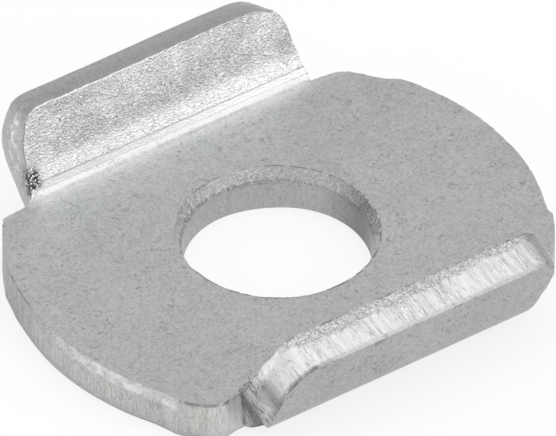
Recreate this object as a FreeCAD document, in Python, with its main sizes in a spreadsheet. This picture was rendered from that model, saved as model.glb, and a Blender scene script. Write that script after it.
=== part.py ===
import FreeCAD, Part
import math
import os
import Sketcher

# Clamping washer: a flat disc of thick zinc-plated sheet, cut straight along two parallel
# lines, with a tall lip bent up along one line and a low lip along the other.
# Frame: Z = 0 is the flat underside, the bore's axis is the Z axis, X runs along the two
# bend lines and the tall lip stands on the +Y side.  Millimetres and degrees.

V = FreeCAD.Vector
os.makedirs("parts", exist_ok=True)

# Driving sizes
SIZES = {
    "sheet_thick": 2.5,
    "bore_dia": 10.5,
    # the punch breaks through the last third of the sheet, which flares the bore's top
    "break_depth": 0.75,
    "break_flare": 0.32,
    # round sides of the blank
    "disc_dia": 29.8,
    # the four corners are cut by another punch, so their radii differ from the disc's
    "corner_far_right": 14.45,
    "corner_far_left": 15.0,
    "corner_near_left": 15.15,
    "corner_near_right": 15.15,
    "cut_far_right": 6.9,
    "cut_far_left": 6.9,
    "cut_near_left": 8.1,
    "cut_near_right": 6.85,
    "corner_step": 0.35,
    # the straight edges, where both bends start, measured from the bore's axis
    "bend_line": 9.6,
    "bend_inner": 0.3,
    # how far each lip leans outwards from upright, and its length along its inner face
    "tall_lean": 23.5,
    "tall_length": 5.05,
    "low_lean": 11.5,
    "low_length": 2.9,
    # sides of the lips at the bend lines
    "tall_left": 10.0,
    "tall_right": 8.95,
    "low_left": 9.3,
    "low_right": 10.1,
    # each side tapers from just above the bend, then a slanting cut takes the corner off
    "taper_start": 0.8,
    "tall_taper": 8.0,
    "tall_corner": 1.25,
    "tall_blend": 1.7,
    "low_taper": 4.0,
    "low_left_corner": 2.3,
    "low_right_corner": 1.4,
    "low_blend": 1.3,
    # at both ends of a bend the stretched outer metal is drawn in along a slanting plane: by how
    # much at the outer skin, and how far outside the inner skin the slant starts
    "tall_pinch_start": 0.1,
    "tall_left_pinch": 1.1,
    "tall_right_pinch": 0.95,
    "low_pinch_start": 0.7,
    "low_left_pinch": 0.5,
    "low_right_pinch": 1.55,
}

doc = FreeCAD.newDocument("clamping_washer")
sheet = doc.addObject("Spreadsheet::Sheet", "sizes")
for row, (alias, value) in enumerate(SIZES.items(), start=1):
    sheet.set("A%d" % row, alias)
    sheet.set("B%d" % row, str(value))
    sheet.setAlias("B%d" % row, alias)
doc.recompute()


def size(alias):
    """The sheet's value of one size."""
    return float(sheet.get(alias))


body = doc.addObject("PartDesign::Body", "clamping_washer")
body.Label = "clamping_washer"


def plane(role):
    """The body's own origin plane of that role."""
    return [f for f in body.Origin.OriginFeatures if f.Role == role][0]


def new_sketch(name, role, offset=None):
    """An empty sketch on one of the body's origin planes."""
    sketch = body.newObject("Sketcher::SketchObject", name)
    sketch.AttachmentSupport = [(plane(role), "")]
    sketch.MapMode = "FlatFace"
    if offset is not None:
        sketch.AttachmentOffset = offset
    return sketch


def bind(sketch, kind, places, start, formula):
    """One driving constraint, bound to the sheet."""
    index = sketch.addConstraint(Sketcher.Constraint(kind, *places, start))
    sketch.setExpression("Constraints[%d]" % index, formula)


def pin_x(sketch, geo, point, start, formula):
    """Ties a point's x to the sheet: formula is the distance from the axis, on either side."""
    places = (-1, 1, geo, point) if start >= 0 else (geo, point, -1, 1)
    bind(sketch, "DistanceX", places, abs(start), formula)


def pin_y(sketch, geo, point, start, formula):
    """Ties a point's y to the sheet in the same way."""
    places = (-1, 1, geo, point) if start >= 0 else (geo, point, -1, 1)
    bind(sketch, "DistanceY", places, abs(start), formula)


def join(sketch, ring):
    """Closes a ring of lines and arcs given as (index, start point, end point)."""
    for (geo, _, end), (following, start, _) in zip(ring, ring[1:] + ring[:1]):
        sketch.addConstraint(Sketcher.Constraint("Coincident", geo, end, following, start))


def on_circle(radius, y, side):
    """The point at height y on a circle about the bore's axis."""
    return V(side * math.sqrt(radius * radius - y * y), y, 0)


def arc_between(a, b):
    """The shorter counter-clockwise arc about the origin from a to b."""
    first = math.atan2(a.y, a.x)
    last = math.atan2(b.y, b.x)
    if last < first:
        last += 2 * math.pi
    return Part.ArcOfCircle(Part.Circle(V(0, 0, 0), V(0, 0, 1), a.Length), first, last)


# Flat plate: two main arcs, four corner arcs with a small step before each, two chords
radius = size("disc_dia") / 2
step = size("corner_step")
line = size("bend_line")
outline = new_sketch("outline_sketch", "XY_Plane")
arcs = []
for name, side, first, last, formulas in (
    ("disc_dia / 2", 1, -size("cut_near_right"), size("cut_far_right"),
     ("cut_near_right", "cut_far_right")),
    ("corner_far_right", 1, size("cut_far_right") + step, line,
     ("cut_far_right + corner_step", "bend_line")),
    ("corner_far_left", -1, line, size("cut_far_left") + step,
     ("bend_line", "cut_far_left + corner_step")),
    ("disc_dia / 2", -1, size("cut_far_left"), -size("cut_near_left"),
     ("cut_far_left", "cut_near_left")),
    ("corner_near_left", -1, -size("cut_near_left") - step, -line,
     ("cut_near_left + corner_step", "bend_line")),
    ("corner_near_right", 1, -line, -size("cut_near_right") - step,
     ("bend_line", "cut_near_right + corner_step")),
):
    r = radius if name == "disc_dia / 2" else size(name)
    start, end = on_circle(r, first, side), on_circle(r, last, side)
    geo = outline.addGeometry(arc_between(start, end), False)
    arcs.append((geo, start, end))
    outline.addConstraint(Sketcher.Constraint("Coincident", geo, 3, -1, 1))
    formula = "sizes.disc_dia / 2" if name == "disc_dia / 2" else "sizes." + name
    bind(outline, "Radius", (geo,), r, formula)
    pin_y(outline, geo, 1, first, " + ".join("sizes." + w for w in formulas[0].split(" + ")))
    pin_y(outline, geo, 2, last, " + ".join("sizes." + w for w in formulas[1].split(" + ")))
ring = []
for i, (geo, _, end) in enumerate(arcs):
    following = arcs[(i + 1) % len(arcs)]
    line = outline.addGeometry(Part.LineSegment(end, following[1]), False)
    ring += [(geo, 1, 2), (line, 1, 2)]
join(outline, ring)

plate = body.newObject("PartDesign::Pad", "plate")
plate.Profile = outline
plate.setExpression("Length", "sizes.sheet_thick")
doc.recompute()


def leaf_frame(side, lean, lift):
    """Plane of a lip's inner face: x along the bend, y up the lip, origin where that face
    meets the plate's top, moved by lift towards the bore."""
    turn = FreeCAD.Rotation(V(0, 0, 1), 0 if side > 0 else 180)
    tilt = FreeCAD.Rotation(V(1, 0, 0), 90 - lean)
    rotation = turn.multiply(tilt)
    back = size("bend_inner") * math.tan(math.radians(90 - lean) / 2)
    foot = V(0, side * (size("bend_line") + back), size("sheet_thick"))
    return FreeCAD.Placement(foot + rotation.multVec(V(0, 0, lift)), rotation)


def add_lip(name, side, left, right):
    """One lip: the bend's quarter ring and the straight leaf, drawn in section across the
    bend line and padded along it, then trimmed to its tapered outline with cut corners."""
    thick = size("sheet_thick")
    inner = size("bend_inner")
    lean = size(name + "_lean")
    line = size("bend_line")
    length = size(name + "_length")
    turn = math.radians(90 - lean)
    back = inner * math.tan(turn / 2)
    up = V(math.cos(turn), math.sin(turn), 0)
    out = V(math.sin(turn), -math.cos(turn), 0)
    centre = V(line, thick + inner, 0)
    root = thick

    # Section, x outwards from the bore's axis and y up
    offset = FreeCAD.Placement(V(0, 0, 0), FreeCAD.Rotation(V(0, 1, 0), 0 if side > 0 else 180))
    section = new_sketch(name + "_section", "YZ_Plane", offset)
    inner_end = centre + out * inner
    outer_end = centre + out * (inner + thick)
    tip_in = inner_end + up * (length - back)
    tip_out = outer_end + up * (length - back)
    low_in = V(centre.x, thick, 0)
    low_out = V(centre.x, 0, 0)
    root_in = low_in - V(root, 0, 0)
    root_out = low_out - V(root, 0, 0)
    normal = V(0, 0, 1)
    first, last = -math.pi / 2, -math.pi / 2 + turn
    a_out = section.addGeometry(
        Part.ArcOfCircle(Part.Circle(centre, normal, inner + thick), first, last), False)
    l_out = section.addGeometry(Part.LineSegment(outer_end, tip_out), False)
    l_tip = section.addGeometry(Part.LineSegment(tip_out, tip_in), False)
    l_in = section.addGeometry(Part.LineSegment(tip_in, inner_end), False)
    a_in = section.addGeometry(
        Part.ArcOfCircle(Part.Circle(centre, normal, inner), first, last), False)
    l_top = section.addGeometry(Part.LineSegment(low_in, root_in), False)
    l_root = section.addGeometry(Part.LineSegment(root_in, root_out), False)
    l_bot = section.addGeometry(Part.LineSegment(root_out, low_out), False)
    for first, following in ((l_out, l_tip), (l_tip, l_in), (l_top, l_root), (l_root, l_bot)):
        section.addConstraint(Sketcher.Constraint("Coincident", first, 2, following, 1))
    section.addConstraint(Sketcher.Constraint("Coincident", a_in, 3, a_out, 3))
    bend_back = "sizes.bend_inner * tan((90 - sizes.%s_lean) / 2)" % name
    pin_x(section, a_in, 3, centre.x, "sizes.bend_line")
    pin_y(section, a_in, 3, centre.y, "sizes.sheet_thick + sizes.bend_inner")
    bind(section, "Radius", (a_in,), inner, "sizes.bend_inner")
    bind(section, "Radius", (a_out,), inner + thick, "sizes.bend_inner + sizes.sheet_thick")
    section.addConstraint(Sketcher.Constraint("Horizontal", l_top))
    section.addConstraint(Sketcher.Constraint("Horizontal", l_bot))
    section.addConstraint(Sketcher.Constraint("Vertical", l_root))
    section.addConstraint(Sketcher.Constraint("Tangent", a_in, 1, l_top, 1))
    section.addConstraint(Sketcher.Constraint("Tangent", a_out, 2, l_out, 1))
    section.addConstraint(Sketcher.Constraint("Tangent", a_in, 2, l_in, 2))
    section.addConstraint(Sketcher.Constraint("Tangent", a_out, 1, l_bot, 2))
    section.addConstraint(Sketcher.Constraint("Perpendicular", l_tip, l_out))
    section.addConstraint(Sketcher.Constraint("Parallel", l_in, l_out))
    bind(section, "Distance", (l_in,), length - back,
         "sizes.%s_length - %s" % (name, bend_back))
    bind(section, "Distance", (l_top,), root, "sizes.sheet_thick")
    index = section.addConstraint(Sketcher.Constraint("Angle", l_out, turn))
    section.setExpression("Constraints[%d]" % index, "(90 - sizes.%s_lean) * 1 deg" % name)

    lip = body.newObject("PartDesign::Pad", name + "_lip")
    lip.Profile = section
    lip.SideType = "Two sides"
    ahead, behind = (right, left) if side > 0 else (left, right)
    lip.setExpression("Length", "sizes." + ahead)
    lip.setExpression("Length2", "sizes." + behind)
    doc.recompute()

    # Outline of the leaf, cut square through its thickness
    spare = thick / 2
    trim = new_sketch(name + "_trim", "XY_Plane", leaf_frame(side, lean, spare))
    foot = size("taper_start")
    slope = math.tan(math.radians(size(name + "_taper")))
    for x_side, width, corner in trims(name, left, right, side):
        leg = size(corner)
        edge = size(width)
        high = length - leg
        shoulder = edge - (high - foot) * slope
        formula_high = "sizes.%s_length - sizes.%s" % (name, corner)
        formula_taper = "(%s - sizes.taper_start) * tan(sizes.%s_taper)" % (formula_high, name)
        formula_shoulder = "sizes.%s - %s" % (width, formula_taper)
        points = [
            (edge, foot, "sizes." + width, "sizes.taper_start"),
            (shoulder, high, formula_shoulder, formula_high),
            (shoulder - leg, length, formula_shoulder + " - sizes." + corner,
             "sizes.%s_length" % name),
            (shoulder - leg, length + spare, formula_shoulder + " - sizes." + corner,
             "sizes.%s_length + sizes.sheet_thick / 2" % name),
            (edge + spare, length + spare, "sizes.%s + sizes.sheet_thick / 2" % width,
             "sizes.%s_length + sizes.sheet_thick / 2" % name),
            (edge + spare, foot, "sizes.%s + sizes.sheet_thick / 2" % width,
             "sizes.taper_start"),
        ]
        corners = [V(x_side * p[0], p[1], 0) for p in points]
        geos = [trim.addGeometry(Part.LineSegment(a, b), False)
                for a, b in zip(corners, corners[1:] + corners[:1])]
        join(trim, [(g, 1, 2) for g in geos])
        for g, p in zip(geos, points):
            pin_x(trim, g, 1, x_side * p[0], p[2])
            pin_y(trim, g, 1, p[1], p[3])
    cut = body.newObject("PartDesign::Pocket", name + "_corners")
    cut.Profile = trim
    before = body.Shape.Volume
    cut.setExpression("Length", "sizes.sheet_thick * 2")
    doc.recompute()
    assert cut.Shape.Volume < before - 0.1, name + " corners not cut"


def trims(name, left, right, side):
    """Both ends of a lip as (side of the sketch, width alias, corner alias)."""
    if name == "tall":
        return ((-1, left, "tall_corner"), (1, right, "tall_corner"))
    return ((1, left, "low_left_corner"), (-1, right, "low_right_corner"))


add_lip("tall", 1, "tall_left", "tall_right")
add_lip("low", -1, "low_left", "low_right")


def edges_where(test):
    """Names of the body's edges that pass the test."""
    return ["Edge%d" % (i + 1) for i, e in enumerate(body.Shape.Edges) if test(e)]


def dress(kind, name, edges, value, formula):
    """A fillet on the named edges, bound to the sheet."""
    feature = body.newObject("PartDesign::" + kind, name)
    feature.Base = (body_tip_before[0], edges)
    setattr(feature, value, size(formula))
    feature.setExpression(value, "sizes." + formula)
    doc.recompute()
    body_tip_before[0] = feature


def is_blend_edge(name, side):
    """Test for the short edges through a lip's thickness at its cut corners."""
    lean = size(name + "_lean")
    frame = leaf_frame(side, lean, 0)
    through = frame.Rotation.multVec(V(0, 0, 1))
    length = size(name + "_length")

    def test(edge):
        if edge.Curve.TypeId != "Part::GeomLine":
            return False
        a, b = edge.Vertexes[0].Point, edge.Vertexes[-1].Point
        along = (b - a).normalize()
        if abs(abs(along.dot(through)) - 1) > 1e-6:
            return False
        low = frame.inverse().multVec((a + b) * 0.5)
        return low.y > size("taper_start") + 0.01 and low.y < length + 0.01 and low.z < 0.01

    return test


body_tip_before = [body.Tip]
dress("Fillet", "tall_blends", edges_where(is_blend_edge("tall", 1)), "Radius", "tall_blend")
dress("Fillet", "low_blends", edges_where(is_blend_edge("low", -1)), "Radius", "low_blend")

def pinch(name, side, x_side, width):
    """Slanting cut at one end of a bend. Its section is drawn on the upright plane through the
    bend line and runs outwards along the middle direction of the bend, so the plate's own
    corner stays whole."""
    thick = size("sheet_thick")
    turn = math.radians(90 - size(name + "_lean")) / 2
    outer = size("bend_inner") + thick
    start = size("bend_inner") + size(name + "_pinch_start")
    amount = size(width + "_pinch")
    edge = size(width)
    top = outer - start / math.cos(turn)
    bottom = -thick / 2
    deepest = amount * ((outer - bottom) * math.cos(turn) - start) / (outer - start)
    away = FreeCAD.Placement(V(0, 0, -side * size("bend_line")), FreeCAD.Rotation())
    sketch = new_sketch(width + "_pinch_sketch", "XZ_Plane", away)
    reach = "(sizes.bend_inner + sizes.sheet_thick)"
    begin = "(sizes.bend_inner + sizes.%s_pinch_start)" % name
    half = "cos((90 - sizes.%s_lean) / 2)" % name
    formula_top = "%s - %s / %s" % (reach, begin, half)
    formula_deep = "sizes.%s_pinch * ((%s + sizes.sheet_thick / 2) * %s - %s) / (%s - %s)" % (
        width, reach, half, begin, reach, begin)
    points = [
        (edge, top, "sizes." + width, formula_top),
        (edge - deepest, bottom, "sizes.%s - %s" % (width, formula_deep), "sizes.sheet_thick / 2"),
        (edge + thick, bottom, "sizes.%s + sizes.sheet_thick" % width, "sizes.sheet_thick / 2"),
        (edge + thick, top, "sizes.%s + sizes.sheet_thick" % width, formula_top),
    ]
    corners = [V(x_side * p[0], p[1], 0) for p in points]
    geos = [sketch.addGeometry(Part.LineSegment(a, b), False)
            for a, b in zip(corners, corners[1:] + corners[:1])]
    join(sketch, [(g, 1, 2) for g in geos])
    for g, p in zip(geos, points):
        pin_x(sketch, g, 1, x_side * p[0], p[2])
        pin_y(sketch, g, 1, p[1], p[3])
    cut = body.newObject("PartDesign::Pocket", width + "_pinch")
    cut.Profile = sketch
    cut.UseCustomVector = True
    cut.AlongSketchNormal = False
    cut.Direction = V(0, side * math.cos(turn), math.sin(turn))
    before = body_tip_before[0].Shape.Volume
    cut.setExpression("Length", "sizes.%s_length + sizes.sheet_thick * 3" % name)
    doc.recompute()
    assert cut.Shape.Volume < before - 0.05, width + " pinch not cut"
    body_tip_before[0] = cut


pinch("tall", 1, -1, "tall_left")
pinch("tall", 1, 1, "tall_right")
pinch("low", -1, -1, "low_left")
pinch("low", -1, 1, "low_right")

# Bore, punched from below
bore_sketch = new_sketch("bore_sketch", "XY_Plane")
hole = bore_sketch.addGeometry(Part.Circle(V(0, 0, 0), V(0, 0, 1), size("bore_dia") / 2), False)
bore_sketch.addConstraint(Sketcher.Constraint("Coincident", hole, 3, -1, 1))
bind(bore_sketch, "Radius", (hole,), size("bore_dia") / 2, "sizes.bore_dia / 2")
bore = body.newObject("PartDesign::Pocket", "bore")
bore.Profile = bore_sketch
bore.Reversed = True
before = body_tip_before[0].Shape.Volume
bore.setExpression("Length", "sizes.sheet_thick * 2")
doc.recompute()
assert bore.Shape.Volume < before - 1, "bore not cut"

# Break-out zone: the bore's upper third opens as a shallow cone
rim = size("bore_dia") / 2
depth = size("break_depth")
flare = size("break_flare")
thick = size("sheet_thick")
cone_sketch = new_sketch("break_sketch", "XZ_Plane")
cone = [
    (rim, thick - depth, "sizes.bore_dia / 2", "sizes.sheet_thick - sizes.break_depth"),
    (rim + 2 * flare, thick + depth, "sizes.bore_dia / 2 + 2 * sizes.break_flare",
     "sizes.sheet_thick + sizes.break_depth"),
    (rim - flare, thick + depth, "sizes.bore_dia / 2 - sizes.break_flare",
     "sizes.sheet_thick + sizes.break_depth"),
    (rim - flare, thick - depth, "sizes.bore_dia / 2 - sizes.break_flare",
     "sizes.sheet_thick - sizes.break_depth"),
]
corners = [V(p[0], p[1], 0) for p in cone]
geos = [cone_sketch.addGeometry(Part.LineSegment(a, b), False)
        for a, b in zip(corners, corners[1:] + corners[:1])]
join(cone_sketch, [(g, 1, 2) for g in geos])
for g, p in zip(geos, cone):
    pin_x(cone_sketch, g, 1, p[0], p[2])
    pin_y(cone_sketch, g, 1, p[1], p[3])
break_out = body.newObject("PartDesign::Groove", "break_out")
break_out.Profile = cone_sketch
break_out.ReferenceAxis = (cone_sketch, ["V_Axis"])
break_out.Angle = 360
doc.recompute()
assert break_out.Shape.Volume < bore.Shape.Volume - 0.5, "break-out not cut"
body_tip_before[0] = break_out

for obj in doc.Objects:
    bad = [s for s in obj.State if s in ("Invalid", "Error")]
    assert not bad, "%s: %s" % (obj.Name, bad)
shape = body.Shape
assert not shape.isNull() and shape.isValid(), "washer shape"
assert len(shape.Solids) == 1, "washer is one solid"
print("volume %.1f mm3" % shape.Volume, "box", shape.BoundBox)
shape.exportStep("parts/clamping_washer.step")
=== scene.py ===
# %% [markdown]
# A clamping washer, made the way the real one is made: **blank, pierce, bend**.
#
# A punch cuts the blank and the hole out of thick sheet, and a press bends two lips up. The metal's
# own marks each come from one of those steps: the soft rolled rim, the bright sheared band, the
# torn band, and the scored lines that fan out at the bends. Some places are also painted brighter
# as painted highlights and darker as painted shade. Here the whole washer is laid out flat first,
# with its marks, and then folded, so the marks bend with the metal as in the press.

import bpy
import numpy as np
from mathutils import Matrix


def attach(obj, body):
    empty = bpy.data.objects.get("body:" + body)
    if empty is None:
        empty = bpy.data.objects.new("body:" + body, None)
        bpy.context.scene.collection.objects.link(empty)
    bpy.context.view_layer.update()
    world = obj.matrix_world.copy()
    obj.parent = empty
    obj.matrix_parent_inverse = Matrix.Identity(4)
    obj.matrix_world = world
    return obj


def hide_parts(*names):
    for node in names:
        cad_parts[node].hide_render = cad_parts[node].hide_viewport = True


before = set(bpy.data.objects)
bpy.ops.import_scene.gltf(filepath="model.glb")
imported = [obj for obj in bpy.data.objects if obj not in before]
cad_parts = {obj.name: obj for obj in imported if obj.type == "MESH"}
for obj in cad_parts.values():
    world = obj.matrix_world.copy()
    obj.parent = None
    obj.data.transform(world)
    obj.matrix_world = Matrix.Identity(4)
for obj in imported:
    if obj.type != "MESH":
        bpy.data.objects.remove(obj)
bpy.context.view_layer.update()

# %% [markdown]
# ## Camera
# The picture was taken with a long lens from the front left and above. Such a lens keeps parallel
# lines nearly parallel, so the slopes of the bend lines and the hole's roundness give the angle.

# %% Place the camera
MM = 0.001
IMAGE_WIDTH = 556
FOCAL_PIXELS = 15000.0
SENSOR = 36.0
AZIMUTH, ELEVATION, ROLL = np.radians([-35.544, 39.901, 0.619])
TARGET = np.array([2.401, 3.366, 0.0])
DISTANCE = 823.83
NEAREST, FARTHEST = 0.05, 20.0


def aim(azimuth, elevation, roll):
    """Camera axes as the columns of a matrix: backwards = (sin a cos e, -cos a cos e, sin e),
    sideways = (cos a, sin a, 0), up = backwards x sideways, then both turned by the roll."""
    back = np.array([np.sin(azimuth) * np.cos(elevation),
                     -np.cos(azimuth) * np.cos(elevation), np.sin(elevation)])
    side = np.array([np.cos(azimuth), np.sin(azimuth), 0.0])
    up = np.cross(back, side)
    turned = np.cos(roll) * side + np.sin(roll) * up
    return np.column_stack([turned, np.cross(back, turned), back])


def placed(name, data, turn=np.eye(3), place=(0, 0, 0)):
    """A new object in the scene, turned by a matrix and set at a place."""
    made = bpy.data.objects.new(name, data)
    bpy.context.scene.collection.objects.link(made)
    pose = np.eye(4)
    pose[:3, :3], pose[:3, 3] = turn, place
    made.matrix_world = Matrix(pose.tolist())
    return made


axes = aim(AZIMUTH, ELEVATION, ROLL)
spot = (TARGET + DISTANCE * axes[:, 2]) * MM
camera_data = bpy.data.cameras.new("camera")
camera_data.sensor_width = SENSOR
camera_data.lens = FOCAL_PIXELS * SENSOR / IMAGE_WIDTH
camera_data.clip_start, camera_data.clip_end = NEAREST, FARTHEST
bpy.context.scene.camera = placed("camera", camera_data, axes, spot)
print("camera at", np.round(spot, 4), "lens %.0f mm" % camera_data.lens)

# %% [markdown]
# ## Small helpers
# Torn and rubbed metal is never even. `wander` gives a value that drifts along a line, and `grain`
# one that drifts over a surface. Both start from a fixed seed, so every run gives the same washer.
# `step`, `window` and `bell` say where something begins and ends.

# %% Helpers for values
KNOTS = 512


def knots(x, pitch):
    """The knots below and above x, and how far x lies between them by the smooth step 3f2 - 2f3."""
    place = np.asarray(x) / pitch
    low = np.floor(place).astype(int)
    part = place - low
    return low % KNOTS, (low + 1) % KNOTS, part * part * (3 - 2 * part)


def wander(x, pitch, seed):
    """Random heights between -1 and 1, one every pitch, joined by the smooth step."""
    heights = np.random.default_rng(seed).uniform(-1, 1, KNOTS)
    low, high, part = knots(x, pitch)
    return heights[low] * (1 - part) + heights[high] * part


def grain(x, y, pitch, seed):
    """The same on a square net: four corner heights blended by the smooth step in x and in y."""
    heights = np.random.default_rng(seed).uniform(-1, 1, (KNOTS, KNOTS))
    (ax, bx, fx), (ay, by, fy) = knots(x, pitch), knots(y, pitch)
    return ((heights[ax, ay] * (1 - fx) + heights[bx, ay] * fx) * (1 - fy)
            + (heights[ax, by] * (1 - fx) + heights[bx, by] * fx) * fy)


def step(x, low, high):
    """0 below low, 1 above high, the smooth step between them."""
    part = np.clip((np.asarray(x, float) - low) / (high - low), 0, 1)
    return part * part * (3 - 2 * part)


def window(x, start, full, fade, end):
    """Up from 0 to 1 between start and full, and back to 0 between fade and end."""
    return step(x, start, full) * (1 - step(x, fade, end))


def bell(x, middle, half):
    """1 at the middle, falling to 0.37 at half on each side: exp(-((x - middle) / half)^2)."""
    return np.exp(-((np.asarray(x) - middle) / half) ** 2)


def unit(directions):
    """The same directions, each with length 1."""
    return directions / np.linalg.norm(directions, axis=-1, keepdims=True)


print("wander:", np.round(wander([0, 1, 2], 1.7, 1), 2))

# %% [markdown]
# ## The flat blank
# The blank is drawn from above, in millimetres, with the hole's axis at the origin. Both bends
# start on straight edges 9.6 mm from it. INNER and NEUTRAL are the bends' radii, inside and at the
# layer that keeps its length. The outline runs anticlockwise in eight stretches: the round right
# side, three stretches round the tall lip, the round left side and three round the low lip. The
# round sides show a small step where the corners' own cut meets the disc's.

# %% Sizes of the blank
THICK = 2.5
LINE = 9.6
INNER, NEUTRAL = 0.3, 1.3
DISC = 14.89
TALL_TURN, LOW_TURN = np.radians([66.5, 78.5])
TALL_LONG, LOW_LONG = 5.05, 2.9
FINE, PITCH = 0.02, 0.115


def flat_reach(turn, along_leaf):
    """How far from the bore's axis a point lies when flat: the bend line, plus the bend's length,
    plus what is left of the leaf. along_leaf runs up the inner face, from where that face, made
    longer, would meet the plate."""
    return LINE + NEUTRAL * turn + along_leaf - INNER * np.tan(turn / 2)


print("flat length over both lips %.2f mm"
      % (flat_reach(TALL_TURN, TALL_LONG) + flat_reach(LOW_TURN, LOW_LONG)))


def arc(radius, first_y, last_y, side):
    """Points of a circle about the bore between two heights y, on the right (1) or left (-1)."""
    first, last = np.arcsin([first_y / radius, last_y / radius])
    angle = np.linspace(first, last, 200)
    return np.column_stack([side * radius * np.cos(angle), radius * np.sin(angle)])


def lip_points(turn, side, pairs):
    """Outline points given as (x, distance up the leaf), laid flat."""
    pairs = np.asarray(pairs)
    return np.column_stack([pairs[:, 0], side * flat_reach(turn, pairs[:, 1])])


def recount(points, count):
    """The same line with another number of points, evenly spread over its own points."""
    pick = np.linspace(0, len(points) - 1, count)
    return np.column_stack([np.interp(pick, np.arange(len(points)), points[:, k])
                            for k in (0, 1)])


def even(points, soft):
    """Runs along a broken line at an even PITCH and rounds its corners: the line is cut into FINE
    steps and each point becomes the average of its neighbours at distances d, weighted by
    exp(-d2 / 2 soft2). Both ends stay."""
    points = np.asarray(points, float)
    run = np.concatenate([[0], np.cumsum(np.hypot(*np.diff(points, axis=0).T))])
    fine = np.linspace(0, run[-1], max(8, int(run[-1] / FINE)))
    line = np.column_stack([np.interp(fine, run, points[:, k]) for k in (0, 1)])
    reach = max(2, int(4 * soft / FINE))
    weight = np.exp(-0.5 * (np.arange(-reach, reach + 1) * FINE / soft) ** 2)
    weight /= weight.sum()
    ahead = 2 * line[0] - line[reach:0:-1]
    behind = 2 * line[-1] - line[-2:-reach - 2:-1]
    padded = np.vstack([ahead, line, behind])
    line = np.column_stack([np.convolve(padded[:, k], weight, "valid") for k in (0, 1)])
    return recount(line, max(3, int(round(run[-1] / PITCH)) + 1))


# %% [markdown]
# The lips' outlines are read as points along their rims: each lip is narrower at its tip, its
# corners are cut off at a slant, and the cuts are rounded.

# %% Draw the outline
right_side = even(np.vstack([
    [(10.1, -LINE), (10.9, -9.62), (11.6, -9.48)],
    arc(15.15, -9.2, -7.25, 1),
    arc(DISC, -6.85, 6.75, 1),
    [(12.92, 7.11), (12.47, 7.42)],
    arc(14.42, 7.9, 9.04, 1),
    [(10.52, 9.45), (9.6, 9.58), (8.95, LINE)]]), 0.07)
left_side = even(np.vstack([
    [(-10.0, LINE)],
    arc(15.06, 9.42, 7.0, -1),
    [(-13.74, 6.26), (-14.3, 4.47), (-14.58, 3.1)],
    arc(DISC, 2.4, -7.1, -1),
    [(-12.97, -7.45), (-12.84, -7.78), (-12.77, -8.05)],
    arc(15.2, -8.4, -9.2, -1),
    [(-11.61, -9.67), (-11.12, -9.89), (-10.67, -9.85), (-10.22, -9.70), (-9.76, -9.61),
     (-9.3, -LINE)]]), 0.07)

TALL_RIGHT = [(8.95, 0.2), (8.74, 1.4), (8.61, 2.3), (8.45, 3.4), (8.18, 4.15), (7.78, 4.66)]
TALL_TOP = [(7.3, 4.92), (6.6, TALL_LONG), (4.4, 5.1), (1.5, 5.1), (-2.7, TALL_LONG),
            (-7.3, 5.07), (-7.9, 5.03), (-8.3, 4.93)]
TALL_LEFT = [(-8.6, 4.76), (-8.85, 4.56), (-9.12, 4.25), (-9.48, 3.52), (-9.72, 2.7),
             (-9.86, 1.9), (-9.98, 0.9), (-10.0, 0.2)]
LOW_LEFT = [(-9.39, -1.4), (-9.39, -1.0), (-9.28, 0.0), (-9.15, 0.25), (-8.85, 0.6),
            (-8.35, 1.2), (-7.95, 1.85), (-7.5, 2.3)]
LOW_TOP = [(-6.9, 2.78), (-6.3, 2.88), (-6.0, LOW_LONG), (8.2, LOW_LONG), (8.95, 2.8)]
LOW_RIGHT = [(9.55, 2.36), (9.9, 1.7), (10.05, 1.2), (10.1, 0.25)]
tall_right = even(np.vstack([[(8.95, LINE)], lip_points(TALL_TURN, 1, TALL_RIGHT)]), 0.12)
tall_tip = even(lip_points(TALL_TURN, 1, [TALL_RIGHT[-1], *TALL_TOP, TALL_LEFT[0]]), 0.2)
tall_left = even(np.vstack([lip_points(TALL_TURN, 1, TALL_LEFT), [(-10.0, LINE)]]), 0.12)
low_left = even(np.vstack([[(-9.3, -LINE)], lip_points(LOW_TURN, -1, LOW_LEFT)]), 0.1)
low_tip = even(lip_points(LOW_TURN, -1, [LOW_LEFT[-1], *LOW_TOP, LOW_RIGHT[0]]), 0.12)
low_right = even(np.vstack([lip_points(LOW_TURN, -1, LOW_RIGHT), [(10.1, -LINE)]]), 0.12)

# Both sides of a lip get the same number of points, to be joined row by row.
tall_left = recount(tall_left, len(tall_right))
low_right = recount(low_right, len(low_left))
stretches = {"right_side": right_side, "tall_right": tall_right, "tall_tip": tall_tip,
             "tall_left": tall_left, "left_side": left_side, "low_left": low_left,
             "low_tip": low_tip, "low_right": low_right}
starts = np.concatenate([[0], np.cumsum([len(s) - 1 for s in stretches.values()])])
outline = np.vstack([s[:-1] for s in stretches.values()])
out_x, out_y = outline.T
TOTAL = len(outline)
chord = np.hypot(*(np.roll(outline, -1, axis=0) - outline).T)
along = np.concatenate([[0], np.cumsum(chord)[:-1]])
print("outline", TOTAL, "points, %.1f mm round" % chord.sum())
span = dict(zip(stretches, zip(starts, starts[1:])))


def run_of(name):
    """Outline numbers of one stretch, both ends included."""
    first, last = span[name]
    return np.arange(first, last + 1) % TOTAL


# %% [markdown]
# ## How a sheared edge looks
# A punch does three things to the edge it leaves. First it drags the skin along, which rounds the
# rim on its own side. Then it shears, which leaves a bright band scored in the punch's direction.
# At last the sheet snaps, which leaves a torn, grainy band up to a sharp rim. This washer was
# punched from below, so the soft rim is on the underside and the torn band is on top.
#
# The next cell gives the bands' sizes along the outline, in millimetres, the strength of each look,
# and a thin ragged burr and grooves at the low lip's corners.

# %% Values along the outline
def on(*names):
    """1 on the named stretches of the outline and 0 elsewhere."""
    mark = np.zeros(TOTAL)
    for name in names:
        mark[run_of(name)] = 1
    return mark


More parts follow.
